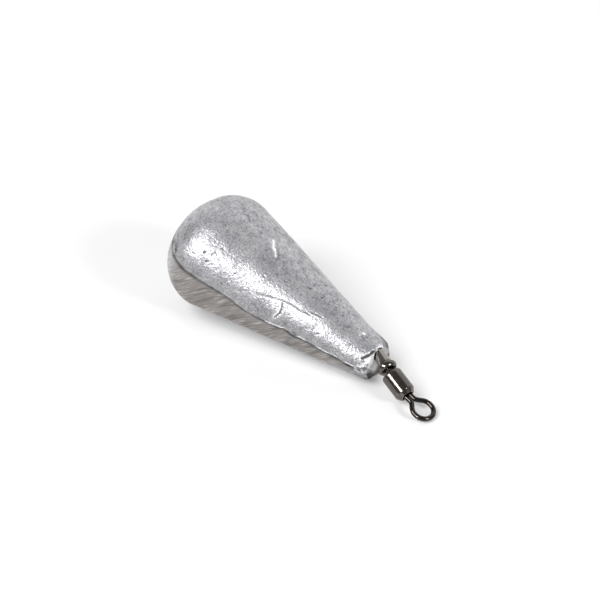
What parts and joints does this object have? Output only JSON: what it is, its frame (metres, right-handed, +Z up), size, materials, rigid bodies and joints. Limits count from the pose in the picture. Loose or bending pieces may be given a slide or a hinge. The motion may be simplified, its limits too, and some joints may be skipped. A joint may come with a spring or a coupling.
{
  "type": "fishing sinker",
  "caption": "Cast lead drop sinker with a blunt end and ground parting line; the swivel cast into its narrow end has a barrel and a wire line eye that turn freely.",
  "frame": {"origin": "middle of the part's footprint, on the table that the sinker lies on", "axes": "+X along the line that the casting rests on, from the blunt end to the line eye; +Z up; +Y to the left seen along +X"},
  "size_m": [0.0584, 0.0218, 0.0214],
  "materials": {
    "cast_lead": "lead as cast, dull with bright worn ridges, the parting line ground",
    "plated_brass": "glossy black nickel plating",
    "plated_wire": "glossy black nickel plating on round wire"
  },
  "bodies": {
    "sinker": {"lead_body": "cast_lead", "anchor_eye": "plated_wire", "swivel_neck": "plated_brass"},
    "barrel": {"swivel_barrel": "plated_brass"},
    "eye": {"line_eye": "plated_wire"}
  },
  "joints": [
    {"name": "barrel_spin", "type": "hinge", "parent": "sinker", "child": "barrel", "pos_m": [0.01901, -0.00163, 0.00399], "axis": [0.9051, -0.229, -0.3584], "continuous": true},
    {"name": "eye_spin", "type": "hinge", "parent": "barrel", "child": "eye", "pos_m": [0.02306, -0.00266, 0.00239], "axis": [0.9493, -0.073, -0.3057], "continuous": true}
  ]
}
